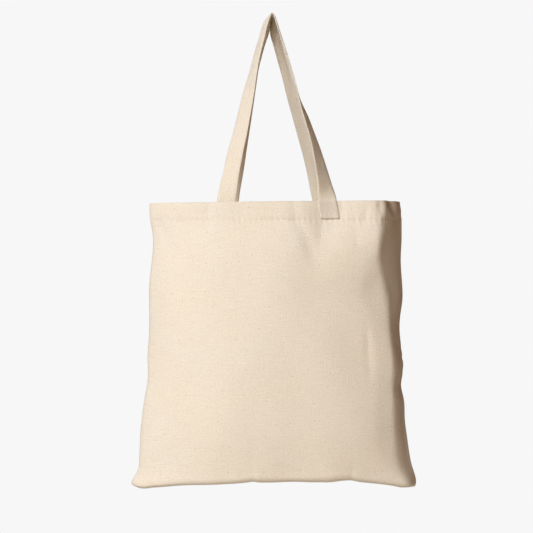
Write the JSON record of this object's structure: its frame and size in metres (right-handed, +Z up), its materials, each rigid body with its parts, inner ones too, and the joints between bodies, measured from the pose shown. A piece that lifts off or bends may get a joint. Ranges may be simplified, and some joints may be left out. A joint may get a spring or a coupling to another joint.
{
  "type": "canvas tote bag",
  "caption": "Open-topped soft bag of natural cotton canvas: flat panels sewn at the sides and bottom, a turned hem, and webbing handles that swing at the mouth.",
  "frame": {"origin": "the point where a hook bears on the underside of the two handles, midway between them", "axes": "+Z up, -Y towards the viewer of the bag's front, +X to the right seen from the front"},
  "size_m": [0.381, 0.139, 0.64],
  "materials": {
    "canvas": "unbleached plain-weave cotton, matt",
    "webbing": "unbleached cotton webbing, matt",
    "thread": "natural cotton thread"
  },
  "bodies": {
    "bag": {"front_panel": "canvas", "back_panel": "canvas", "front_hem_facing": "canvas", "back_hem_facing": "canvas", "left_seam_allowance": "canvas", "right_seam_allowance": "canvas", "bottom_seam_allowance": "canvas", "front_hem_thread": "thread", "back_hem_thread": "thread", "left_seam_thread": "thread", "right_seam_thread": "thread", "bottom_seam_thread": "thread", "front_handle_left_end": "webbing", "front_handle_right_end": "webbing", "back_handle_left_end": "webbing", "back_handle_right_end": "webbing", "front_left_end_thread": "thread", "front_right_end_thread": "thread", "back_left_end_thread": "thread", "back_right_end_thread": "thread"},
    "front_handle": {"front_handle": "webbing"},
    "back_handle": {"back_handle": "webbing"}
  },
  "joints": [
    {"name": "front_handle_swing", "type": "hinge", "parent": "bag", "child": "front_handle", "pos_m": [0.007, -0.0515, -0.25], "axis": [1, 0, 0], "range_deg": [0, 175]},
    {"name": "back_handle_swing", "type": "hinge", "parent": "bag", "child": "back_handle", "pos_m": [0.006, 0.0515, -0.25], "axis": [-1, 0, 0], "range_deg": [0, 175]}
  ]
}
